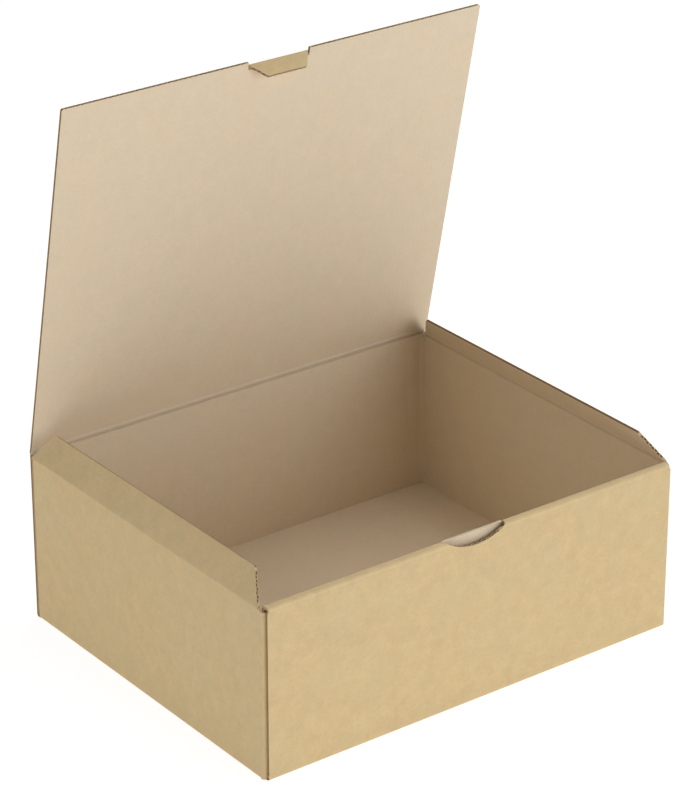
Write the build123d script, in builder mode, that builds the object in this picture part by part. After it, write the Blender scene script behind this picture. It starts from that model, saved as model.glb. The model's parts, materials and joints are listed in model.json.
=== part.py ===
import math
import os
from build123d import *

# Tray, outside sizes
box_width = 280.0
box_depth = 224.0
board = 1.6  # thickness of the fluted board
front_top = 102.7  # top of the rolled-over front wall
fold_radius = 1.4  # outside radius of a scored fold
corner_radius = 2.3  # outside radius of the upright folds at the corners

# Creases of the moving panels
crease_gap = 0.25  # air between a wall's top and the bead of the panel creased to it
flap_clearance = 0.3  # air between stacked panels when the box is shut
lid_crease_z = front_top + flap_clearance + board / 2
flap_crease_z = lid_crease_z - board - flap_clearance

# Front wall: outer panel, roll-over strip and inner panel
slot_gap = 2.4  # between the two front panels, where the tuck tab goes
front_inset = 2.2  # each raw side edge of the front panel, in from the side wall
corner_flap_length = 62.0
corner_flap_drop = 2.6  # top of the corner flap below the top of the front wall
notch_chord = 40.0
notch_depth = 6.0
inner_panel_lift = 0.4  # free lower edge above the floor

# Side and back walls
back_inset = 0.4
glue_flap_length = 14.0
glue_flap_drop = 5.0
rim_slope = 1.5  # fall of the side wall's rim from the dust flap to the front corner

# Lid and its tuck tab
lid_open = 78.0  # degrees from shut
lid_reach = box_depth - board / 2 - 0.3  # crease to front edge
lid_width = box_width - 0.4
lid_corner = 1.0
tab_fold = 109.0  # degrees from flat
tab_reach = box_depth - board / 2 - board - slot_gap / 2  # crease to the tab's crease
tab_width = 39.4
tab_taper = 6.8
tab_length = 9.8
tab_side_gap = 0.8
slot_width = tab_width + 2 * tab_side_gap  # also the width of the lid's recess
tab_bevel = 1.0  # crushed crease behind the tab, on the lid's inner face

# Dust flaps
flap_open = 60.0  # degrees above flat
flap_height = 17.5
flap_chamfer = 14.0
flap_corner = 1.5
flap_front_gap = 0.6  # behind the inner front panel
flap_back_gap = 1.4  # in front of the back wall

# Flutes
liner = 0.22
flute_pitch = 3.4
flute_foot = 2.3  # width of a flute's opening at the liner
flute_crown = 0.5

half_width = box_width / 2
half_depth = box_depth / 2
bead = board / 2
front_inner = -half_depth + board + slot_gap  # front face of the inner front panel
front_back = front_inner + board
corner_front = -half_depth + board + (slot_gap - board) / 2
side_top = flap_crease_z - bead - crease_gap
back_top = lid_crease_z - bead - crease_gap
flap_front = front_back + flap_front_gap
flap_back = half_depth - board - flap_back_gap

os.makedirs("parts", exist_ok=True)

with BuildPart() as tray:
    # Floor, with its lower edges rounded where the walls fold up
    with BuildSketch(Plane.XY):
        RectangleRounded(box_width, box_depth, corner_radius)
    extrude(amount=board)
    fillet(tray.faces().sort_by(Axis.Z)[0].edges(), fold_radius)

    # Side walls, each folded into a front corner flap and a back glue flap
    with BuildSketch(Plane.XY.offset(board)) as wall_plan:
        with BuildLine():
            Polyline(
                (-half_width, half_depth - board),
                (-half_width, corner_front),
                (-half_width + corner_flap_length, corner_front),
                (-half_width + corner_flap_length, corner_front + board),
                (-half_width + board, corner_front + board),
                (-half_width + board, half_depth - 2 * board),
                (-half_width + glue_flap_length, half_depth - 2 * board),
                (-half_width + glue_flap_length, half_depth - board),
                close=True,
            )
        make_face()
        fillet(wall_plan.vertices().sort_by(Axis.X)[:2], corner_radius)
        mirror(about=Plane.YZ)
    extrude(amount=side_top - board)

    # Front corner flaps and back glue flaps stop short of the rim
    flap_tops = (
        (corner_front + board / 2, slot_gap, corner_flap_length, front_top - corner_flap_drop),
        (half_depth - 1.5 * board, board, glue_flap_length, side_top - glue_flap_drop),
    )
    for y, depth, length, top in flap_tops:
        for side in (-1, 1):
            inner = side * (half_width - corner_radius - board)
            with BuildSketch(Plane.XY.offset(top)):
                with Locations((inner - side * length / 2, y)):
                    Rectangle(length, depth)
            extrude(amount=board * 3, mode=Mode.SUBTRACT)

    # Rim of the side walls falls a little towards the front corners
    with BuildSketch(Plane.YZ.offset(-half_width)):
        with BuildLine():
            Polyline(
                (flap_front, side_top),
                (corner_front - board, side_top - rim_slope),
                (corner_front - board, side_top + board),
                (flap_front, side_top + board),
                close=True,
            )
        make_face()
    extrude(amount=box_width, mode=Mode.SUBTRACT)

    # Back wall, glued to the flaps folded behind the side walls
    with BuildSketch(Plane.XY.offset(board)):
        with Locations((0, half_depth - board / 2)):
            Rectangle(box_width - 2 * back_inset, board)
    extrude(amount=back_top - board)

    # Front wall rolled over into an inner panel that hangs free above the floor
    with BuildSketch(Plane.YZ.offset(-half_width + front_inset)) as front_section:
        with BuildLine():
            Polyline(
                (-half_depth, board),
                (-half_depth, front_top),
                (front_back, front_top),
                (front_back, board + inner_panel_lift),
                (front_inner, board + inner_panel_lift),
                (front_inner, front_top - board),
                (-half_depth + board, front_top - board),
                (-half_depth + board, board),
                close=True,
            )
        make_face()
        fillet(front_section.vertices().group_by(Axis.Y)[-1], fold_radius)
    extrude(amount=box_width - 2 * front_inset)

    # Half-moon thumb notch in the outer panel, open into the slot for the tuck tab
    notch_radius = (notch_chord**2 / 4 + notch_depth**2) / (2 * notch_depth)
    with BuildSketch(Plane.XZ.offset(half_depth)):
        with Locations((0, front_top - notch_depth + notch_radius)):
            Circle(notch_radius)
    extrude(amount=-(board + slot_gap), mode=Mode.SUBTRACT)
    with BuildSketch(Plane.XY.offset(front_top)):
        with Locations((0, front_inner - slot_gap / 2)):
            Rectangle(slot_width, slot_gap)
    extrude(amount=-board, mode=Mode.SUBTRACT)

lid_lift = math.radians(lid_open)
lid_plane = Plane(
    origin=(0, half_depth - board / 2, lid_crease_z),
    x_dir=(1, 0, 0),
    z_dir=(0, math.sin(lid_lift), math.cos(lid_lift)),
)
with BuildPart() as lid:
    with BuildSketch(lid_plane) as lid_outline:
        with Locations((0, -lid_reach / 2)):
            RectangleRounded(lid_width, lid_reach, lid_corner)
        with Locations((0, -lid_reach)):
            recess = 2 * (lid_reach - tab_reach + bead + crease_gap)
            Rectangle(slot_width, recess, mode=Mode.SUBTRACT)
    extrude(amount=board / 2, both=True)
    # Inner edge behind the tab, crushed so that the tab can fold past square
    crease_edge = lid.edges().filter_by(Axis.X).filter_by(
        lambda edge: abs(edge.length - slot_width) < 0.01
    )
    inner_edge = crease_edge.sort_by(Axis.Y)[0]
    chamfer(inner_edge, tab_bevel)
    # Rounded bead along the crease
    with BuildSketch(Plane.YZ.offset(-lid_width / 2)):
        with Locations((half_depth - board / 2, lid_crease_z)):
            Circle(bead)
    extrude(amount=lid_width)

tab_lift = math.radians(lid_open - tab_fold)
tab_plane = Plane(
    origin=lid_plane.from_local_coords(Vector(0, -tab_reach, 0)),
    x_dir=(1, 0, 0),
    z_dir=(0, math.sin(tab_lift), math.cos(tab_lift)),
)
with BuildPart() as tuck_tab:
    with BuildSketch(tab_plane) as tab_outline:
        with BuildLine():
            Polyline(
                (-tab_width / 2, 0),
                (tab_width / 2, 0),
                (tab_width / 2 - tab_taper, -tab_length),
                (-tab_width / 2 + tab_taper, -tab_length),
                close=True,
            )
        make_face()
        fillet(tab_outline.vertices().group_by(Axis.Y)[0], lid_corner)
    extrude(amount=board / 2, both=True)
    # Rounded bead along the crease
    with BuildSketch(Plane.YZ.offset(-tab_width / 2)):
        with Locations((tab_plane.origin.Y, tab_plane.origin.Z)):
            Circle(bead)
    extrude(amount=tab_width)

flap_lift = math.radians(flap_open)
flap_plane = Plane(
    origin=(-half_width + board / 2, 0, flap_crease_z),
    x_dir=(0, 1, 0),
    z_dir=(math.sin(flap_lift), 0, -math.cos(flap_lift)),
)
with BuildPart() as dust_flap_left:
    with BuildSketch(flap_plane) as flap_outline:
        with BuildLine():
            Polyline(
                (flap_front, 0),
                (flap_back, 0),
                (flap_back - flap_chamfer, flap_height),
                (flap_front + flap_chamfer, flap_height),
                close=True,
            )
        make_face()
        fillet(flap_outline.vertices().group_by(Axis.Y)[-1], flap_corner)
    extrude(amount=board / 2, both=True)
    # Rounded bead along the crease
    with BuildSketch(Plane.XZ.offset(-flap_front)):
        with Locations((-half_width + board / 2, flap_crease_z)):
            Circle(bead)
    extrude(amount=-(flap_back - flap_front))
    # Flutes run along the crease and are open at both slanted ends
    flute_count = int((flap_height - 2 * bead) / (flute_pitch / 2)) - 1
    end_plane = Plane(
        origin=flap_plane.from_local_coords(Vector(flap_front, 0, 0)),
        x_dir=flap_plane.y_dir,
        z_dir=flap_plane.x_dir,
    )
    with BuildSketch(end_plane):
        for i in range(flute_count):
            centre = 2 * bead + (i + 0.5) * flute_pitch / 2
            tip = 1 if i % 2 else -1
            rise = tip * (board / 2 - liner)
            with BuildLine():
                Polyline(
                    (centre - flute_foot / 2, -rise),
                    (centre + flute_foot / 2, -rise),
                    (centre + flute_crown / 2, rise - tip * liner),
                    (centre - flute_crown / 2, rise - tip * liner),
                    close=True,
                )
            make_face()
    extrude(amount=flap_back - flap_front, mode=Mode.SUBTRACT)

with BuildPart() as dust_flap_right:
    add(mirror(dust_flap_left.part, about=Plane.YZ))

tray.part.label = "tray"
lid.part.label = "lid"
tuck_tab.part.label = "tuck_tab"
dust_flap_left.part.label = "dust_flap_left"
dust_flap_right.part.label = "dust_flap_right"
export_step(tray.part, "parts/tray.step")
export_step(lid.part, "parts/lid.step")
export_step(tuck_tab.part, "parts/tuck_tab.step")
export_step(dust_flap_left.part, "parts/dust_flap_left.step")
export_step(dust_flap_right.part, "parts/dust_flap_right.step")
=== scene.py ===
import json
import math
import bmesh
import bpy
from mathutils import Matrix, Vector


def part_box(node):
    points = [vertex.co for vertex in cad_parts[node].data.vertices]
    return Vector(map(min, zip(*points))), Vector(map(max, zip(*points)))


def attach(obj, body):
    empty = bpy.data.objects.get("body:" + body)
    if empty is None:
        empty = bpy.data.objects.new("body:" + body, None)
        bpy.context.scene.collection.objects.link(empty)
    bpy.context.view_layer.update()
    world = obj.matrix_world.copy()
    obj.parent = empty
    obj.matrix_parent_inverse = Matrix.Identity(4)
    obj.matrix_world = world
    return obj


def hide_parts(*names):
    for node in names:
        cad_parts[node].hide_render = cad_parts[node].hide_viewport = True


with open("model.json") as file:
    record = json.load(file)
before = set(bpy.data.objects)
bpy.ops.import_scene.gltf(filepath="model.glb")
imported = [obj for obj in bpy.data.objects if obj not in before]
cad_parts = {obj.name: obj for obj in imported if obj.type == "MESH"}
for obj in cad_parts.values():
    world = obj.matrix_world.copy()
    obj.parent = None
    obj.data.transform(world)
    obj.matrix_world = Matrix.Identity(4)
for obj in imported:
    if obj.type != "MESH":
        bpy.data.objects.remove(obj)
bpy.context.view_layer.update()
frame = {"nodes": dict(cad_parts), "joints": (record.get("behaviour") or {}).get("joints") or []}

mm = 0.001
joints = {joint["name"]: Vector(joint["pos_m"]) for joint in frame["joints"]}
print("frame loaded:", ", ".join(sorted(frame["nodes"])))

right = Vector((1, 0, 0))
rearward = Vector((0, 1, 0))
up = Vector((0, 0, 1))


# Fluted board: two liners with a wavy sheet between them

boardStock = {
    "thickness": 1.6 * mm,
    "liner": 0.22 * mm,
    "flutePitch": 3.4 * mm,
    "fluteFoot": 2.0 * mm,  # width of an open flute along its liner
    "fluteCrown": 0.4 * mm,
    "fluteDepth": 4.0 * mm,  # how far an open flute can be seen into
    "fluteShare": 0.6,  # at most this share of the way to the panel's other side
    "fluteLeast": 0.2 * mm,
    "fluteMargin": 0.15 * mm,  # board left between the last flute and a corner
    "grooveDepth": 0.5 * mm,  # hollow between the liners where a cut runs along a flute
    "foldRadius": 1.7 * mm,  # outside of a scored fold
    "foldSteps": 6,
    "beadSteps": 10,
    "cornerSteps": 4,
    "scoreWidth": 2.2 * mm,  # ridge that a score raises on the inside
    "scoreRise": 0.4 * mm,
    "scoreParts": (0.06, 0.18, 0.34, 0.5, 0.66, 0.82, 0.94),  # places across the ridge
    "scoreBlunt": 0.7,  # below 1 the ridge has a broad top
    "sharpAngle": 40,  # degrees between faces, from where an edge is drawn sharp
}
thickness = boardStock["thickness"]
liner = boardStock["liner"]
foldRadius = boardStock["foldRadius"]
weldGrid = 0.001 * mm  # points nearer than this are one
closeBy = 0.1 * mm  # room for rounding when a place is looked up
outsideSlot, insideSlot, edgeSlot, mediumAndShadeSlot, scoreSheenSlot, paintedLitSlot = range(6)


def newSheet():
    bm = bmesh.new()
    return {
        "bm": bm,
        "uv": bm.loops.layers.uv.new("fluteMap"),
        "outer": {},  # place: vertex on the outside
        "inner": {},  # vertex on the outside: its partner on the inside
        "skin": [],
        "runs": [],
    }


def sheetVert(sheet, point, normal, back=None):
    key = tuple(round(value / weldGrid) for value in point)
    if key not in sheet["outer"]:
        front = sheet["bm"].verts.new(point)
        sheet["outer"][key] = front
        sheet["inner"][front] = sheet["bm"].verts.new(back or point - normal * thickness)
    return sheet["outer"][key]


def addFace(sheet, verts, slot, smooth=False):
    face = sheet["bm"].faces.new(verts)
    face.material_index = slot
    face.smooth = smooth
    return face


def mapFlat(sheet, face, across, along):
    for loop in face.loops:
        loop[sheet["uv"]].uv = (loop.vert.co.dot(across), loop.vert.co.dot(along))


# A flat panel. openSides holds the sides that are cut across the flutes: {side: its curve or None}
def addPanel(sheet, corners, normal, across, openSides=None, backs=None, slot=outsideSlot):
    openSides = openSides or {}
    backs = backs or {}
    along = normal.cross(across)
    verts = [sheetVert(sheet, corner, normal, backs.get(i)) for i, corner in enumerate(corners)]
    turn = sum((one.cross(two) for one, two in zip(corners, corners[1:] + corners[:1])), Vector())
    facing = normal if turn.dot(normal) > 0 else -normal
    outline, backline = [], []
    for i, vert in enumerate(verts):
        outline.append(vert)
        backline.append(sheet["inner"][vert])
        if i in openSides:
            end = verts[(i + 1) % len(verts)]
            run = cutFlutes(sheet, vert, end, normal, across, openSides[i])
            inward = facing.cross(end.co - vert.co)
            run["into"] = along if along.dot(inward) > 0 else -along
            run["outline"] = [(corner.dot(across), corner.dot(along)) for corner in corners]
            run["axes"] = (across, along)
            outline += run["front"]
            backline += run["rear"]
    front = addFace(sheet, outline, slot)
    rear = addFace(sheet, backline, insideSlot)
    for face in (front, rear):
        mapFlat(sheet, face, across, along)
    sheet["skin"].append(front)


# A bent strip between two panels: rows of (point, normal), all of one length.
# The flutes go round the fold or, if not roundTheFold, along it
def addFold(sheet, rows, axis, roundTheFold, slot=outsideSlot):
    travel = 0
    for one, two in zip(rows, rows[1:]):
        stepLength = (two[0][0] - one[0][0]).length
        for i in range(len(one) - 1):
            verts = [sheetVert(sheet, *place) for place in (one[i], one[i + 1], two[i + 1], two[i])]
            front = addFace(sheet, verts, slot, True)
            rear = addFace(sheet, [sheet["inner"][vert] for vert in verts], insideSlot, True)
            for face in (front, rear):
                for loop, late in zip(face.loops, (0, 0, 1, 1)):
                    bent = travel + stepLength * late
                    flat = loop.vert.co.dot(axis)
                    loop[sheet["uv"]].uv = (flat, bent) if roundTheFold else (bent, flat)
            sheet["skin"].append(front)
        travel += stepLength


# Rows for a quarter fold about a line, from one panel's normal to the next one's
def foldRows(centre, fromNormal, toNormal, radius, rowPoints):
    rows = []
    steps = boardStock["foldSteps"]
    for step in range(steps + 1):
        turn = math.pi / 2 * step / steps
        normal = fromNormal * math.cos(turn) + toNormal * math.sin(turn)
        rows.append([(centre + shift + normal * radius, normal) for shift in rowPoints(step, normal)])
    return rows


# Places of the open flutes along a cut side, from one corner to the next
def cutFlutes(sheet, start, end, normal, across, curve):
    fromU, toU = start.co.dot(across), end.co.dot(across)
    way = 1 if toU > fromU else -1
    half = boardStock["flutePitch"] / 2
    foot = boardStock["fluteFoot"] / 2
    crown = boardStock["fluteCrown"] / 2
    first, last = start.co.copy(), end.co.copy()

    def edgeAt(u, depth=0):
        if curve:
            return curve(u) - normal * depth
        return first.lerp(last, (u - fromU) / (toU - fromU)) - normal * depth

    low, high = sorted((fromU, toU))
    margin = foot + boardStock["fluteMargin"]
    firstFlute = math.ceil((low + margin) / half - 0.5)
    lastFlute = math.floor((high - margin) / half - 0.5)
    numbers = range(firstFlute, lastFlute + 1)
    run = {"start": start, "end": end, "front": [], "rear": [], "pockets": []}
    bm = sheet["bm"]
    for number in sorted(numbers, reverse=way < 0):
        centre = (number + 0.5) * half
        atFront = number % 2 == 0
        wide = liner if atFront else thickness - liner
        narrow = thickness - 2 * liner if atFront else 2 * liner
        pocket = {"atFront": atFront}
        places = {
            "wideLeft": (centre - way * foot, wide),
            "wideRight": (centre + way * foot, wide),
            "narrowRight": (centre + way * crown, narrow),
            "narrowLeft": (centre - way * crown, narrow),
        }
        for name, (u, depth) in places.items():
            pocket[name] = bm.verts.new(edgeAt(u, depth))
        for name in ("Left", "Right"):
            u = places["wide" + name][0]
            vert = bm.verts.new(edgeAt(u, 0 if atFront else thickness))
            pocket["line" + name] = vert
            run["front" if atFront else "rear"].append(vert)
        run["pockets"].append(pocket)
    sheet["runs"].append(run)
    return run


# How far a flute runs from its open end to the panel's other side
def fluteRoom(run, place):
    across, along = run["axes"]
    u, v = place.dot(across), place.dot(along)
    way = run["into"].dot(along)
    reaches = []
    outline = run["outline"]
    ownCut = 0.5 * mm  # a shorter reach is the cut that the flute opens in
    for (u1, v1), (u2, v2) in zip(outline, outline[1:] + outline[:1]):
        if min(u1, u2) <= u < max(u1, u2):
            reach = (v1 + (v2 - v1) * (u - u1) / (u2 - u1) - v) * way
            reaches.append(reach)
    return min((reach for reach in reaches if reach > ownCut), default=0)


# Builds the raw edge of a run of open flutes
def buildRun(sheet, run, rings):
    bm = sheet["bm"]
    pockets = run["pockets"]
    corners = ("wideLeft", "wideRight", "narrowRight", "narrowLeft")
    for pocket in pockets:
        rim = [pocket[name] for name in corners]
        room = min(fluteRoom(run, vert.co) for vert in rim)
        depth = max(boardStock["fluteShare"] * room, boardStock["fluteLeast"])
        shift = run["into"] * min(boardStock["fluteDepth"], depth)
        deep = [bm.verts.new(vert.co + shift) for vert in rim]
        # Flute walls and bottom take the darker medium: partly painted shade
        for i in range(4):
            j = (i + 1) % 4
            addFace(sheet, (rim[i], rim[j], deep[j], deep[i]), mediumAndShadeSlot)
        addFace(sheet, deep, mediumAndShadeSlot)
        line = (pocket["lineLeft"], pocket["lineRight"], pocket["wideRight"], pocket["wideLeft"])
        addFace(sheet, line, edgeSlot)
    for one, two in zip(pockets, pockets[1:]):
        wave = (one["wideRight"], two["narrowLeft"], two["wideLeft"], one["narrowRight"])
        addFace(sheet, wave, edgeSlot)
    for one, two, three in zip(pockets, pockets[1:], pockets[2:]):
        strip = (one["lineRight"], three["lineLeft"], three["wideLeft"], one["wideRight"])
        glue = (one["wideRight"], three["wideLeft"], two["narrowRight"], two["narrowLeft"])
        addFace(sheet, strip, edgeSlot)
        addFace(sheet, glue, edgeSlot)
    ends = ((run["start"], pockets[0], pockets[1], "Left", "Right"),
            (run["end"], pockets[-1], pockets[-2], "Right", "Left"))
    for vert, one, two, near, far in ends:
        partner = sheet["inner"][vert]
        ring = list(rings.get(vert, ()))
        first, last = (vert, partner) if one["atFront"] else (partner, vert)
        if one["atFront"]:
            ring.reverse()
        outline = [first, one["line" + near], one["wide" + near], one["narrow" + near]]
        outline += [one["narrow" + far], two["wide" + near], two["line" + near], last]
        addFace(sheet, outline + ring, edgeSlot)


# Closes the sheet's raw edges. edgeStyle says how: "groove", "plain", "pale" or "bead"
def closeSheet(sheet, edgeStyle):
    bm = sheet["bm"]
    inner = sheet["inner"]
    bm.normal_update()
    styled = []
    for face in list(sheet["skin"]):
        for loop in face.loops:
            edge = loop.edge
            if len(edge.link_faces) == 1 and all(vert in inner for vert in edge.verts):
                one, two = loop.vert, loop.link_loop_next.vert
                inward = face.normal.cross((two.co - one.co).normalized())
                styled.append((one, two, inward, edgeStyle((one.co + two.co) / 2)))
    pulls = {}
    for one, two, inward, style in styled:
        if style == "groove":
            pulls.setdefault(one, []).append(inward)
            pulls.setdefault(two, []).append(inward)
    share = liner / thickness
    leastPull = 0.5  # keeps the groove's corners from running far in
    rings, deep = {}, {}
    for vert, ways in pulls.items():
        pull = sum(ways, Vector()).normalized()
        pull *= boardStock["grooveDepth"] / max(pull.dot(ways[0]), leastPull)
        span = inner[vert].co - vert.co
        rings[vert] = [bm.verts.new(vert.co + span * part) for part in (share, 1 - share)]
        deep[vert] = [bm.verts.new(place.co + pull) for place in rings[vert]]
        # Groove end in the darker medium: partly painted shade
        if len(ways) == 1:
            addFace(sheet, (*rings[vert], deep[vert][1], deep[vert][0]), mediumAndShadeSlot)
    beads, beadEnds = {}, {}
    for one, two, inward, style in styled:
        if style == "groove":
            lines = [(vert, *rings[vert], inner[vert]) for vert in (one, two)]
            hollow = [(rings[vert][0], *deep[vert], rings[vert][1]) for vert in (one, two)]
            # The groove's bottom strip takes the darker medium: partly painted shade
            strips = ((lines, 0, edgeSlot), (lines, 2, edgeSlot), (hollow, 0, edgeSlot),
                      (hollow, 1, mediumAndShadeSlot), (hollow, 2, edgeSlot))
            for (first, second), i, slot in strips:
                addFace(sheet, (first[i], second[i], second[i + 1], first[i + 1]), slot)
        elif style in ("plain", "pale"):
            ringOne = list(rings.get(one, ()))
            ringTwo = list(rings.get(two, ()))
            outline = [one, two] + ringTwo + [inner[two], inner[one]] + ringOne[::-1]
            addFace(sheet, outline, edgeSlot if style == "plain" else insideSlot)
        else:
            for vert in (one, two):
                beadEnds[vert] = beadEnds.get(vert, 0) + 1
                if vert not in beads:
                    beads[vert] = beadArc(sheet, vert, -inward)
            for i in range(len(beads[one]) - 1):
                strip = (beads[one][i], beads[two][i], beads[two][i + 1], beads[one][i + 1])
                addFace(sheet, strip, beadSlot(i), True)
    for vert, count in beadEnds.items():
        if count == 1:
            addFace(sheet, beads[vert] + list(rings.get(vert, ()))[::-1], edgeSlot)
    for run in sheet["runs"]:
        buildRun(sheet, run, rings)
    bmesh.ops.recalc_face_normals(bm, faces=bm.faces)


# Half-round end of a creased panel, from its outside to its inside, where the score raises a ridge
def beadArc(sheet, vert, outward):
    partner = sheet["inner"][vert]
    span = partner.co - vert.co
    width = -span.dot(outward)
    spoke = -(span + outward * width) / 2
    centre = vert.co - spoke
    steps = boardStock["beadSteps"]
    places = []
    for step in range(1, steps):
        turn = math.pi * step / steps
        places.append(centre + spoke * math.cos(turn) + outward * spoke.length * math.sin(turn))
    if width > closeBy:
        rise = boardStock["scoreRise"] * width / boardStock["scoreWidth"]
        for part in boardStock["scoreParts"]:
            lift = 1 + rise / spoke.length * math.sin(math.pi * part) ** boardStock["scoreBlunt"]
            places.append(centre - spoke * lift - outward * width * part)
    return [vert] + [sheet["bm"].verts.new(place) for place in places] + [partner]


def beadSlot(step):
    steps = boardStock["beadSteps"]
    if step < steps / 2:
        return outsideSlot
    # The ridge's steps take the greyer paper: partly a painted sheen
    return insideSlot if step < steps - 1 else scoreSheenSlot


# Turns the sheet into an object that stands for a CAD node and moves with its body
def finishPiece(sheet, name, body, node, finishes):
    wide = [face for face in sheet["bm"].faces if len(face.verts) > 4]
    bmesh.ops.triangulate(sheet["bm"], faces=wide, ngon_method="BEAUTY")
    for edge in sheet["bm"].edges:
        bent = edge.calc_face_angle(math.pi) > math.radians(boardStock["sharpAngle"])
        edge.smooth = not bent and all(face.smooth for face in edge.link_faces)
    mesh = bpy.data.meshes.new(name)
    sheet["bm"].to_mesh(mesh)
    sheet["bm"].free()
    for finish in finishes:
        mesh.materials.append(finish)
    piece = bpy.data.objects.new(name, mesh)
    bpy.context.scene.collection.objects.link(piece)
    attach(piece, body)
    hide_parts(node)
    print("made", name, len(mesh.polygons), "faces")


# Finishes

# A screen colour as the linear one that a shader takes
def fromScreen(red, green, blue):
    def linear(value):
        value /= 255
        return value / 12.92 if value <= 0.04045 else ((value + 0.055) / 1.055) ** 2.4
    return (linear(red), linear(green), linear(blue), 1)


paperLook = {
    "kraft": (212, 188, 143),
    "kraftWarm": (215, 187, 141),
    "kraftCool": (210, 189, 145),
    "paintedLit": (220, 196, 151),  # kraft painted lighter over the front's roll-over: painted light on its upward faces
    "paintedLitWarm": (222, 195, 149),
    "paintedLitCool": (218, 197, 153),
    "pale": (227, 209, 182),
    "paleWarm": (228, 208, 180),
    "paleCool": (224, 210, 184),
    "cut": (208, 182, 142),
    "cutDark": (184, 156, 118),
    # Darker fluting medium in open flutes and grooves: partly its own colour, partly painted shade in
    # these recesses
    "hollow": (156, 131, 100),
    "hollowDark": (126, 103, 76),
    # Paper on the score's ridge, greyer than the inside: partly the score line, partly a painted sheen
    "score": (223, 209, 191),
    "kraftFleck": (158, 124, 84),
    "paleFleck": (192, 166, 132),
    "roughness": 0.8,
    "roughVary": 0.08,
    "cutRoughness": 0.95,
    "gloss": 0.2,
    "cloudSize": 26 * mm,  # soft patches of tone
    "fibreLength": 4.0 * mm,
    "fibreWidth": 0.5 * mm,
    "fibreTone": 0.03,
    "mottleSize": 10.0 * mm,
    "kraftMottle": 0.075,
    "paleMottle": 0.03,
    "fleckLength": 2.2 * mm,  # odd dark fibres
    "fleckWidth": 0.16 * mm,
    "fleckShare": 0.55,
    "fleckLies": (0.45, -0.6),  # turned this far from the flutes, in radians
    "fleckFrom": 0.68,  # only the peaks of the noise are flecks
    "fleckFull": 0.78,
    "washboard": 0.006 * mm,  # flutes showing through the liner
    "tooth": 0.012 * mm,  # roughness of the paper itself
    "ragSize": 0.6 * mm,  # torn fibres of a cut
    "ragDepth": 0.08 * mm,
}
softNoise = (0.35, 0.65)  # where most values of a soft noise lie
roughNoise = (0.3, 0.7)  # and those of a rough one


def addNode(tree, kind, settings=None, links=None):
    node = tree.nodes.new(kind)
    for name, value in (settings or {}).items():
        if name in node.inputs:
            node.inputs[name].default_value = value
        else:
            setattr(node, name, value)
    for name, socket in (links or {}).items():
        tree.links.new(socket, node.inputs[name])
    return node


def mixColour(tree, factor, one, two):
    node = addNode(tree, "ShaderNodeMix", {"data_type": "RGBA"})  # colours are sockets 6 and 7
    for index, value in ((0, factor), (6, one), (7, two)):
        if isinstance(value, (int, float, tuple)):
            node.inputs[index].default_value = value
        else:
            tree.links.new(value, node.inputs[index])
    return node.outputs[2]


# Spreads a range of a value over another range
def spread(tree, value, span, toLow, toHigh):
    settings = {"From Min": span[0], "From Max": span[1], "To Min": toLow, "To Max": toHigh}
    return addNode(tree, "ShaderNodeMapRange", settings, {"Value": value}).outputs["Result"]


def noise(tree, place, size, detail, rough):
    settings = {"Scale": 1 / size, "Detail": detail, "Roughness": rough}
    return addNode(tree, "ShaderNodeTexNoise", settings, {"Vector": place}).outputs["Fac"]


def newFinish(name, roughness):
    finish = bpy.data.materials.new(name)
    finish.use_nodes = True
    tree = finish.node_tree
    shader = tree.nodes["Principled BSDF"]
    shader.inputs["Roughness"].default_value = roughness
    shader.inputs["Specular IOR Level"].default_value = paperLook["gloss"]
    return finish, tree, shader


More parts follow.
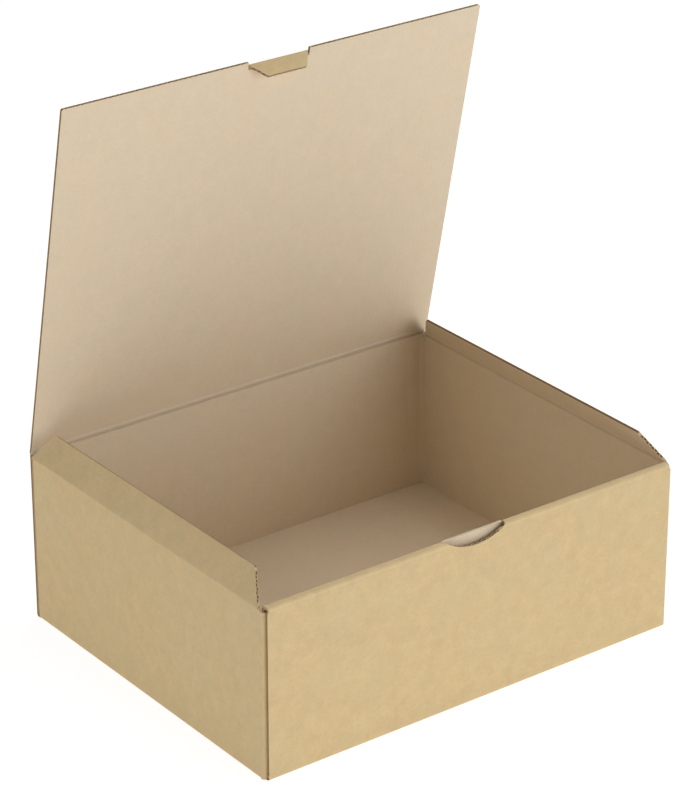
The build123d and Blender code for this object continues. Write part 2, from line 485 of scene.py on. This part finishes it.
def paperFinish(name, plain, warm, cool, fleckTone, mottleTone, flutePhase):
    finish, tree, shader = newFinish(name, paperLook["roughness"])
    flutes = addNode(tree, "ShaderNodeUVMap", {"uv_map": "fluteMap"}).outputs["UV"]
    place = addNode(tree, "ShaderNodeTexCoord").outputs["Object"]
    stretch = (paperLook["fibreWidth"] / paperLook["fibreLength"], 1, 1)
    streak = addNode(tree, "ShaderNodeMapping", {"Scale": stretch}, {"Vector": flutes}).outputs["Vector"]
    cloud = noise(tree, place, paperLook["cloudSize"], detail=3, rough=0.55)
    fibre = noise(tree, streak, paperLook["fibreWidth"], detail=4, rough=0.6)
    mottle = noise(tree, place, paperLook["mottleSize"], detail=5, rough=0.85)
    patches = spread(tree, cloud, softNoise, 0, 1)
    tint = mixColour(tree, patches, fromScreen(*cool), fromScreen(*warm))
    tint = mixColour(tree, 0.5, fromScreen(*plain), tint)
    # Odd dark fibres, lying two ways
    fleckPeak = (paperLook["fleckFrom"], paperLook["fleckFull"])
    for turn in paperLook["fleckLies"]:
        settings = {"vector_type": "TEXTURE", "Rotation": (0, 0, turn),
                    "Scale": (paperLook["fleckLength"] / paperLook["fleckWidth"], 1, 1)}
        lie = addNode(tree, "ShaderNodeMapping", settings, {"Vector": flutes}).outputs["Vector"]
        fleck = noise(tree, lie, paperLook["fleckWidth"], detail=1, rough=0.5)
        amount = spread(tree, fleck, fleckPeak, 0, paperLook["fleckShare"])
        tint = mixColour(tree, amount, tint, fromScreen(*fleckTone))
    low, high = 1 - paperLook["fibreTone"], 1 + paperLook["fibreTone"]
    tone = spread(tree, fibre, roughNoise, low, high)
    grain = spread(tree, mottle, roughNoise, 1 - mottleTone, 1 + mottleTone)
    both = addNode(tree, "ShaderNodeMath", {"operation": "MULTIPLY"}, {0: tone, 1: grain}).outputs[0]
    colour = addNode(tree, "ShaderNodeVectorMath", {"operation": "SCALE"}, {0: tint, "Scale": both})
    tree.links.new(colour.outputs[0], shader.inputs["Base Color"])
    smoothest = paperLook["roughness"] - paperLook["roughVary"]
    roughest = paperLook["roughness"] + paperLook["roughVary"]
    matt = spread(tree, mottle, roughNoise, smoothest, roughest)
    tree.links.new(matt, shader.inputs["Roughness"])
    # Flutes showing through, then the tooth of the paper
    split = addNode(tree, "ShaderNodeSeparateXYZ", None, {"Vector": flutes})
    turns = addNode(tree, "ShaderNodeMath", {"operation": "MULTIPLY_ADD"}, {0: split.outputs["X"]})
    turns.inputs[1].default_value = 2 * math.pi / boardStock["flutePitch"]
    turns.inputs[2].default_value = flutePhase
    wave = addNode(tree, "ShaderNodeMath", {"operation": "COSINE"}, {0: turns.outputs[0]}).outputs[0]
    ridge = addNode(tree, "ShaderNodeBump", {"Distance": paperLook["washboard"]}, {"Height": wave})
    links = {"Height": fibre, "Normal": ridge.outputs["Normal"]}
    tooth = addNode(tree, "ShaderNodeBump", {"Distance": paperLook["tooth"]}, links)
    tree.links.new(tooth.outputs["Normal"], shader.inputs["Normal"])
    return finish


def cutFinish(name, tone, darkTone):
    finish, tree, shader = newFinish(name, paperLook["cutRoughness"])
    place = addNode(tree, "ShaderNodeTexCoord").outputs["Object"]
    rag = noise(tree, place, paperLook["ragSize"], detail=4, rough=0.7)
    blend = spread(tree, rag, softNoise, 0, 1)
    colour = mixColour(tree, blend, fromScreen(*darkTone), fromScreen(*tone))
    tree.links.new(colour, shader.inputs["Base Color"])
    fray = addNode(tree, "ShaderNodeBump", {"Distance": paperLook["ragDepth"]}, {"Height": rag})
    tree.links.new(fray.outputs["Normal"], shader.inputs["Normal"])
    return finish


quarterPitch = math.pi / 2  # puts the washboard's troughs over the flutes open to that side
kraftOutside = paperFinish(
    "kraftOutside", paperLook["kraft"], paperLook["kraftWarm"], paperLook["kraftCool"],
    paperLook["kraftFleck"], paperLook["kraftMottle"], quarterPitch)
paleInside = paperFinish(
    "paleInside", paperLook["pale"], paperLook["paleWarm"], paperLook["paleCool"],
    paperLook["paleFleck"], paperLook["paleMottle"], -quarterPitch)
# Score ridge: greyer paper, partly a painted sheen along the crease
scoreLineSheen = paperFinish(
    "scoreLineSheen", paperLook["score"], paperLook["score"], paperLook["paleCool"],
    paperLook["paleFleck"], paperLook["paleMottle"], -quarterPitch)
rawCut = cutFinish("rawCutEdge", paperLook["cut"], paperLook["cutDark"])
# Open flutes and grooves: darker medium, partly painted shade
fluteMediumAndShade = cutFinish("fluteMediumAndShade", paperLook["hollow"], paperLook["hollowDark"])
# Lighter kraft for the roll-over: painted light on its upward faces
paintedLitKraft = paperFinish(
    "paintedLitKraft", paperLook["paintedLit"], paperLook["paintedLitWarm"], paperLook["paintedLitCool"],
    paperLook["kraftFleck"], paperLook["kraftMottle"], quarterPitch)
finishes = (kraftOutside, paleInside, rawCut, fluteMediumAndShade, scoreLineSheen, paintedLitKraft)
print("finishes ready")


# Tray: floor, side walls, back wall and the rolled-over front

trayLook = {
    "frontTop": 102.7 * mm,
    "slotGap": 2.4 * mm,  # between the two front panels
    "frontInset": 2.2 * mm,  # raw side edges of the front panel
    "frontRelief": 0.9 * mm,  # corners of the front panel, cut back at the top
    "reliefDrop": 1.4 * mm,
    "frontPress": 0.9 * mm,  # its raw side edges are pressed slanting
    "pressStart": 2.0 * mm,  # from this far above the floor's fold
    "notchChord": 40.0 * mm,
    "notchDepth": 6.0 * mm,
    "slotWidth": 41.0 * mm,
    "slotKerf": 0.3 * mm,
    "slotLip": 0.3 * mm,  # cut from the notch's end to the slot's corner
    "slotDrop": 0.3 * mm,  # inner panel behind the notch, below the front's top
    "innerLift": 0.4 * mm,
    "cornerFlap": 62.0 * mm,
    "cornerRadius": 2.3 * mm,  # upright folds
    "cornerFoot": 0.5 * mm,
    "glueFlap": 14.0 * mm,
    "glueDrop": 0.3 * mm,
    "glueCrush": 0.5 * mm,  # the glue flap is crushed thin
    "crushRun": 3.0 * mm,  # over this length from its fold
    "glueEdge": 0.05 * mm,
    "glueGap": 0.05 * mm,
    "backCorner": 1.3 * mm,  # top of the fold into the glue flap, below the lid's crease
    "backInset": 0.4 * mm,
    "rimDrop": 0.4 * mm,  # side wall's rim below the crease, at the dust flap's front end
    "rimSlope": 2.6 * mm,
    "creaseDrop": 1.8 * mm,  # inner face of a wall, below the crease on it
    "lidRoom": 0.9 * mm,  # outer face of the back wall, clear of the lid folded right back
    "flapRoom": 0.4 * mm,  # outer face of a side wall, clear of its dust flap
    "flapFront": 0.6 * mm,  # dust flap's front end behind the inner front panel
    "flapBack": 1.0 * mm,  # its back end in front of the back wall
    "flapSeat": 0.9 * mm,  # top of the side wall's back corner, below the crease
    "seatSteps": 3,  # steps of the back fold that stay at that height
    "flapNick": 0.3 * mm,  # ends of the dust flap's crease, cut slanting
}
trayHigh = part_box("tray")[1]
halfWidth, halfDepth = trayHigh.x, trayHigh.y
lidPivot = joints["lid_hinge"]
flapPivot = joints["left_flap_fold"]
frontFace = -halfDepth
innerFront = frontFace + thickness + trayLook["slotGap"]  # pale face of the inner panel
innerBack = innerFront + thickness
cornerFace = frontFace + thickness + (trayLook["slotGap"] - thickness) / 2
glueFace = halfDepth - thickness - trayLook["glueGap"]
sideTop = flapPivot.z - trayLook["creaseDrop"]
backTop = lidPivot.z - trayLook["creaseDrop"]
flapFront = innerBack + trayLook["flapFront"]
flapBack = halfDepth - thickness - trayLook["flapBack"]


def rimHeight(y):
    fall = trayLook["rimSlope"] / (flapFront - cornerFace + thickness)
    return flapPivot.z - trayLook["rimDrop"] - max(flapFront - y, 0) * fall


def makeTray():
    sheet = newSheet()
    corner = trayLook["cornerRadius"]
    frontX = halfWidth - trayLook["frontInset"]
    backX = halfWidth - trayLook["backInset"]
    sideX = halfWidth - foldRadius
    foldY = halfDepth - foldRadius
    wallFront = cornerFace + corner
    wallBack = glueFace - corner

    # Floor, seen from below
    half = [(frontX, -foldY), (sideX, wallFront), (sideX, wallBack), (backX, foldY)]
    plan = half + [(-x, y) for x, y in reversed(half)]
    addPanel(sheet, [Vector((x, y, 0)) for x, y in plan], -up, right)

    for side in (-1, 1):
        makeSide(sheet, side, wallFront, wallBack)

    # Back wall, its top edge cut slanting where the lid's crease sits in it
    ends = (-right * backX, right * backX)
    centre = rearward * foldY + up * foldRadius
    rows = foldRows(centre, -up, rearward, foldRadius, lambda step, normal: ends)
    addFold(sheet, rows, right, True)
    low = [Vector((x, halfDepth, foldRadius)) for x in (-backX, backX)]
    backEdge = lidPivot.z - trayLook["lidRoom"]
    high = [Vector((x, halfDepth, backEdge)) for x in (backX, -backX)]
    backs = {i: Vector((high[i - 2].x, halfDepth - thickness, backTop)) for i in (2, 3)}
    addPanel(sheet, low + high, rearward, right, None, backs)

    makeFront(sheet, frontX, foldY)
    closeSheet(sheet, trayEdge)
    finishPiece(sheet, "foldedTray", "tray", "tray", finishes)


# How the tray's raw edge is closed at a place
def trayEdge(place):
    aboveWall = 0.3 * mm  # a creased edge stands at least this far over the wall's inner top
    onCrease = place.z > sideTop + aboveWall and place.y > flapFront - closeBy
    onGlueFlap = abs(place.y - glueFace) < trayLook["glueGap"]
    behindNotch = abs(place.x) < trayLook["slotWidth"] / 2 and place.y > innerBack - closeBy
    atTop = place.z > trayLook["frontTop"] / 2
    if onCrease or onGlueFlap or behindNotch and atTop:
        return "pale"
    return "plain" if place.y < flapFront and place.z > foldRadius else "groove"


def makeSide(sheet, side, wallFront, wallBack):
    corner = trayLook["cornerRadius"]
    out = right * side
    wallX = halfWidth * side
    ends = (rearward * wallFront, rearward * wallBack)
    centre = out * (halfWidth - foldRadius) + up * foldRadius
    rows = foldRows(centre, -up, out, foldRadius, lambda step, normal: ends)
    addFold(sheet, rows, rearward, False)

    # Wall, with the dust flap's crease along its top
    glueTop = sideTop - trayLook["glueDrop"]
    seat = flapPivot.z - trayLook["flapSeat"]
    crease = flapPivot.z - trayLook["flapRoom"]
    nick = trayLook["flapNick"]
    outline = [
        (wallFront, foldRadius), (wallBack, foldRadius), (wallBack, glueTop), (wallBack, seat),
        (wallBack, crease), (flapFront, crease), (flapFront - nick, rimHeight(flapFront)),
        (wallFront, rimHeight(wallFront)),
    ]
    backs = {i: Vector((wallX - side * thickness, outline[i][0], sideTop)) for i in (4, 5)}
    backs[4].y -= nick
    addPanel(sheet, [Vector((wallX, y, z)) for y, z in outline], out, up, None, backs)

    # Upright fold into the corner flap, between the two front panels
    def frontRow(step, normal):
        top = rimHeight(wallFront + normal.y * corner)
        return [up * z for z in (trayLook["cornerFoot"], foldRadius, top)]

    centre = out * (halfWidth - corner) + rearward * wallFront
    addFold(sheet, foldRows(centre, out, -rearward, corner, frontRow), up, True)
    top = rimHeight(cornerFace)
    nearX, farX = halfWidth - corner, halfWidth - trayLook["cornerFlap"]
    flap = [(nearX, foldRadius), (farX, foldRadius), (farX, top), (nearX, top)]
    addPanel(sheet, [Vector((x * side, cornerFace, z)) for x, z in flap], -rearward, up)

    # Upright fold into the glue flap, crushed thin against the back wall
    def backRow(step, normal):
        raised = step >= trayLook["seatSteps"]
        top = lidPivot.z - trayLook["backCorner"] if raised else seat
        return [up * z for z in (trayLook["cornerFoot"], foldRadius, glueTop, top)]

    centre = out * (halfWidth - corner) + rearward * wallBack
    addFold(sheet, foldRows(centre, out, rearward, corner, backRow), up, True)
    crushX = nearX - trayLook["crushRun"]
    edgeX = halfWidth - trayLook["glueFlap"]
    strips = (
        (nearX, crushX, trayLook["glueCrush"]),
        (crushX, edgeX, trayLook["glueEdge"]),
    )
    for x1, x2, depth in strips:
        flap = [(x1, foldRadius), (x2, foldRadius), (x2, glueTop), (x1, glueTop)]
        places = [Vector((x * side, glueFace, z)) for x, z in flap]
        backs = {i: places[i] - rearward * depth for i in (1, 2)}
        addPanel(sheet, places, rearward, up, None, backs)


def makeFront(sheet, frontX, foldY):
    top = trayLook["frontTop"]
    topLine = top - foldRadius
    chord, depth = trayLook["notchChord"], trayLook["notchDepth"]
    notchRadius = (chord ** 2 / 4 + depth ** 2) / (2 * depth)
    notchZ = top - depth + notchRadius
    slotX = trayLook["slotWidth"] / 2
    topX = frontX - trayLook["frontRelief"]
    reliefZ = topLine - trayLook["reliefDrop"]

    def notchHalf(z):
        return math.sqrt(notchRadius ** 2 - (notchZ - z) ** 2)

    def notchCurve(u):
        return Vector((u, frontFace, notchZ - math.sqrt(notchRadius ** 2 - u ** 2)))

    ends = (-right * frontX, right * frontX)
    centre = -rearward * foldY + up * foldRadius
    rows = foldRows(centre, -up, -rearward, foldRadius, lambda step, normal: ends)
    addFold(sheet, rows, right, True)

    # Outer panel with the half-moon notch
    notchX = notchHalf(topLine)
    pressZ = foldRadius + trayLook["pressStart"]
    half = [
        (frontX, foldRadius), (frontX, pressZ), (frontX, reliefZ),
        (topX, topLine), (notchX, topLine),
    ]
    notchSide = len(half) - 1
    pressed = (1, 2, 7, 8)  # corners of the side edges, between fold and relief
    outline = half + [(-x, z) for x, z in reversed(half)]
    places = [Vector((x, frontFace, z)) for x, z in outline]
    backs = {}
    for i in pressed:
        shift = math.copysign(trayLook["frontPress"], places[i].x)
        backs[i] = places[i] + rearward * thickness - right * shift
    addPanel(sheet, places, -rearward, right, {notchSide: notchCurve}, backs)

    # Roll-over strip in two halves, either side of the slot
    for side in (-1, 1):
        def overRow(step, normal):
            nearX = notchHalf(topLine + normal.z * foldRadius)
            return [right * side * x for x in (nearX, topX)]

        centre = -rearward * foldY + up * topLine
        rows = foldRows(centre, -rearward, up, foldRadius, overRow)
        # The roll-over takes the lighter kraft: painted light on its upward faces
        addFold(sheet, rows, right, True, paintedLitSlot)
        lastX = rows[-1][0][0].x * side
        backLine = innerBack - foldRadius
        strip = [
            (lastX, -foldY), (slotX, -foldY + trayLook["slotLip"]), (slotX, backLine),
            (topX, backLine), (topX, -foldY),
        ]
        addPanel(sheet, [Vector((x * side, y, top)) for x, y in strip], up, right, slot=paintedLitSlot)
        centre = rearward * backLine + up * topLine
        slotEnds = [right * side * x for x in (slotX, topX)]
        rows = foldRows(centre, up, rearward, foldRadius, lambda step, normal: slotEnds)
        addFold(sheet, rows, right, True, paintedLitSlot)

    # Inner panel, standing straight up behind the notch
    cutX = slotX - trayLook["slotKerf"]
    cutTop = top - trayLook["slotDrop"]
    lowZ = thickness + trayLook["innerLift"]
    half = [
        (frontX, lowZ), (frontX, reliefZ), (topX, topLine),
        (slotX, topLine), (cutX, topLine), (cutX, cutTop),
    ]
    outline = half + [(-x, z) for x, z in reversed(half)]
    places = [Vector((x, innerBack, z)) for x, z in outline]
    addPanel(sheet, places, rearward, right)


makeTray()


# Lid and its tuck tab

lidLook = {
    "open": 78.0,  # degrees from shut
    "sideGap": 0.2 * mm,
    "reach": 222.9 * mm,
    "corner": 1.0 * mm,
    "creaseGap": 1.05 * mm,  # lid's inner face stops short of the tab's crease
    "bevel": 1.0 * mm,
}
tabLook = {
    "fold": 109.0,  # degrees from flat
    "width": 39.4 * mm,
    "taper": 6.8 * mm,
    "length": 9.8 * mm,
    "corner": 1.0 * mm,
}
lidTurn = math.radians(lidLook["open"])
lidWay = Vector((0, -math.cos(lidTurn), math.sin(lidTurn)))  # from crease to front edge
lidOut = Vector((0, math.sin(lidTurn), math.cos(lidTurn)))
tabPivot = joints["tab_fold"]
tabTurn = math.radians(lidLook["open"] - tabLook["fold"])
tabWay = Vector((0, -math.cos(tabTurn), math.sin(tabTurn)))
tabOut = Vector((0, math.sin(tabTurn), math.cos(tabTurn)))


# Points of a rounded corner in a panel's plane, from one side to the next
def roundCorner(before, corner, after, radius):
    steps = boardStock["cornerSteps"]
    one = (before - corner).normalized()
    two = (after - corner).normalized()
    half = one.angle(two) / 2
    start = corner + one * radius / math.tan(half)
    stop = corner + two * radius / math.tan(half)
    centre = corner + (one + two).normalized() * radius / math.sin(half)
    points = []
    for step in range(steps + 1):
        spoke = (start - centre).slerp(stop - centre, step / steps)
        points.append(centre + spoke.normalized() * radius)
    return points


def makeLid():
    sheet = newSheet()
    halfLid = halfWidth - lidLook["sideGap"]
    reach = lidLook["reach"]
    creaseAt = (tabPivot - lidPivot).dot(lidWay)
    slotX = trayLook["slotWidth"] / 2
    half = [Vector((halfLid, 0))]
    half += roundCorner(half[0], Vector((halfLid, reach)), Vector((0, reach)), lidLook["corner"])
    half += [Vector((slotX, reach)), Vector((slotX, creaseAt))]
    outline = half + [Vector((-p.x, p.y)) for p in reversed(half)]
    skin = lidPivot + lidOut * thickness / 2
    places = [skin + right * p.x + lidWay * p.y for p in outline]
    count = len(half)
    short = lidLook["creaseGap"] + lidLook["bevel"]
    backs = {i: places[i] - lidOut * thickness - lidWay * short for i in (count - 1, count)}
    ridge = lidWay * boardStock["scoreWidth"] - lidOut * thickness
    backs.update({i: places[i] + ridge for i in (0, len(places) - 1)})
    addPanel(sheet, places, lidOut, right, {count - 3: None, count + 1: None}, backs)

    def lidEdge(place):
        along = (place - lidPivot).dot(lidWay)
        if along < closeBy:
            return "bead"
        inRecess = abs(place.x) < slotX - closeBy and along > creaseAt - closeBy
        return "plain" if inRecess else "groove"

    closeSheet(sheet, lidEdge)
    finishPiece(sheet, "openLid", "lid", "lid", finishes)


def makeTab():
    sheet = newSheet()
    halfTab = tabLook["width"] / 2
    foot = Vector((halfTab - tabLook["taper"], tabLook["length"]))
    half = [Vector((halfTab, 0))]
    half += roundCorner(half[0], foot, Vector((0, foot.y)), tabLook["corner"])
    outline = half + [Vector((-p.x, p.y)) for p in reversed(half)]
    skin = tabPivot + tabOut * thickness / 2
    places = [skin + right * p.x + tabWay * p.y for p in outline]
    count = len(half)
    addPanel(sheet, places, tabOut, right, {0: None, count - 1: None, 2 * count - 2: None})

    def tabEdge(place):
        return "bead" if (place - tabPivot).dot(tabWay) < closeBy else "groove"

    closeSheet(sheet, tabEdge)
    finishPiece(sheet, "tuckTab", "tuck_tab", "tuck_tab", finishes)


makeLid()
makeTab()


# Dust flaps

flapLook = {
    "open": 60.0,  # degrees above flat
    "height": 17.5 * mm,
    "frontSlant": 14.0 * mm,
    "backSlant": 11.5 * mm,
    "corner": 1.5 * mm,
}


def makeFlap(side, name, node):
    sheet = newSheet()
    turn = math.radians(flapLook["open"])
    away = right * side
    way = -away * math.cos(turn) + up * math.sin(turn)
    out = away * math.sin(turn) + up * math.cos(turn)
    pivot = flapPivot.copy()
    pivot.x = abs(pivot.x) * side
    height = flapLook["height"]
    feet = [Vector((flapBack, 0)), Vector((flapFront, 0))]
    tips = [
        Vector((flapFront + flapLook["frontSlant"], height)),
        Vector((flapBack - flapLook["backSlant"], height)),
    ]
    outline = list(feet)
    outline += roundCorner(feet[1], tips[0], tips[1], flapLook["corner"])
    outline += roundCorner(tips[0], tips[1], feet[0], flapLook["corner"])
    skin = pivot + out * thickness / 2
    places = [skin + rearward * p.x + way * p.y for p in outline]
    ridge = way * boardStock["scoreWidth"] / 2 - out * thickness
    backs = {i: places[i] + ridge for i in (0, 1)}
    addPanel(sheet, places, out, way, {1: None, len(outline) - 1: None}, backs)

    def flapEdge(place):
        return "bead" if (place - pivot).dot(way) < closeBy else "groove"

    closeSheet(sheet, flapEdge)
    finishPiece(sheet, name, node, node, finishes)


makeFlap(-1, "dustFlapLeft", "dust_flap_left")
makeFlap(1, "dustFlapRight", "dust_flap_right")


# Studio: pale floor, soft light, camera at the photograph's angle

studio = {
    "floorSize": 8.0,
    "floorDrop": 0.3 * mm,  # clear of the box's underside
    "floorTone": 0.8,
    "floorBounce": 0.6,  # soft light from the floor itself
    "floorGlow": 0.87,  # what the camera adds to the floor, so that it reads white
    "floorShade": 0.3,  # share of the floor's own light and shadow that the camera keeps
    "sky": 0.12,  # soft light from all round
    "aim": (0.0, 0.0, 0.1),
    "panels": {  # soft boxes: (watts, size, place)
        "frontPanel": (40.5, 2.0, (1.0, -2.76, 0.72)),
        "leftPanel": (18.8, 2.0, (-2.89, 0.51, 0.72)),
        "rightPanel": (22.0, 2.0, (1.25, 0.22, 2.82)),
        "topPanel": (20.0, 2.0, (0.0, 0.0, 3.1)),
    },
}
cameraLook = {
    "azimuth": -36.99,
    "elevation": 25.53,
    "distance": 1.865,
    "target": (-1.6 * mm, 0.0, 139.5 * mm),
    "focalPixels": 3382.8,
    "imageHeight": 800,  # the picture's taller side, which the sensor spans
    "sensor": 36.0,
}


# 1 for what the eye sees straight, in gloss or through glass, and 0 for light that bounces
def seenRays(tree):
    path = addNode(tree, "ShaderNodeLightPath")
    most = path.outputs["Is Camera Ray"]
    for name in ("Is Glossy Ray", "Is Transmission Ray"):
        links = {0: most, 1: path.outputs[name]}
        most = addNode(tree, "ShaderNodeMath", {"operation": "MAXIMUM"}, links).outputs[0]
    return most


def makeFloor():
    bm = bmesh.new()
    bmesh.ops.create_grid(bm, x_segments=1, y_segments=1, size=studio["floorSize"] / 2)
    mesh = bpy.data.meshes.new("studioFloor")
    bm.to_mesh(mesh)
    bm.free()
    floor = bpy.data.objects.new("studioFloor", mesh)
    floor.location.z = -studio["floorDrop"]
    bpy.context.scene.collection.objects.link(floor)
    finish = bpy.data.materials.new("paleFloor")
    finish.use_nodes = True
    tree = finish.node_tree
    tree.nodes.clear()
    tone = (studio["floorTone"],) * 3 + (1,)
    shade = (studio["floorShade"],) * 3 + (1,)
    pale = addNode(tree, "ShaderNodeBsdfDiffuse", {"Color": tone})
    bounce = addNode(tree, "ShaderNodeEmission", {"Strength": studio["floorBounce"]})
    plain = addNode(tree, "ShaderNodeAddShader", None, {0: pale.outputs[0], 1: bounce.outputs[0]})
    faint = addNode(tree, "ShaderNodeBsdfDiffuse", {"Color": shade})
    glow = addNode(tree, "ShaderNodeEmission", {"Strength": studio["floorGlow"]})
    seen = addNode(tree, "ShaderNodeAddShader", None, {0: faint.outputs[0], 1: glow.outputs[0]})
    links = {0: seenRays(tree), 1: plain.outputs[0], 2: seen.outputs[0]}
    both = addNode(tree, "ShaderNodeMixShader", None, links)
    addNode(tree, "ShaderNodeOutputMaterial", None, {"Surface": both.outputs[0]})
    mesh.materials.append(finish)


def makeSky():
    world = bpy.data.worlds.new("studioSky")
    world.use_nodes = True
    tree = world.node_tree
    tree.nodes.clear()
    white = (1, 1, 1, 1)
    soft = addNode(tree, "ShaderNodeBackground", {"Color": white, "Strength": studio["sky"]})
    plain = addNode(tree, "ShaderNodeBackground", {"Color": white, "Strength": 1})
    links = {0: seenRays(tree), 1: soft.outputs[0], 2: plain.outputs[0]}
    both = addNode(tree, "ShaderNodeMixShader", None, links)
    addNode(tree, "ShaderNodeOutputWorld", None, {"Surface": both.outputs[0]})
    bpy.context.scene.world = world


def makeLamp(name, power, size, place):
    lamp = bpy.data.lights.new(name, "AREA")
    lamp.energy = power
    lamp.size = size
    holder = bpy.data.objects.new(name, lamp)
    holder.location = place
    holder.rotation_mode = "QUATERNION"
    aim = Vector(studio["aim"]) - holder.location
    holder.rotation_quaternion = aim.to_track_quat("-Z", "Y")
    bpy.context.scene.collection.objects.link(holder)


def makeCamera():
    camera = bpy.data.cameras.new("photoCamera")
    camera.sensor_width = cameraLook["sensor"]
    camera.lens = cameraLook["focalPixels"] * cameraLook["sensor"] / cameraLook["imageHeight"]
    holder = bpy.data.objects.new("photoCamera", camera)
    turn = math.radians(cameraLook["azimuth"])
    lift = math.radians(cameraLook["elevation"])
    back = Vector((math.sin(turn) * math.cos(lift), -math.cos(turn) * math.cos(lift), math.sin(lift)))
    holder.location = Vector(cameraLook["target"]) + back * cameraLook["distance"]
    holder.rotation_mode = "QUATERNION"
    holder.rotation_quaternion = (-back).to_track_quat("-Z", "Y")
    bpy.context.scene.collection.objects.link(holder)
    bpy.context.scene.camera = holder


makeFloor()
makeSky()
for name, (power, size, place) in studio["panels"].items():
    makeLamp(name, power, size, place)
makeCamera()
bpy.context.scene.view_settings.view_transform = "Standard"
print("studio ready")
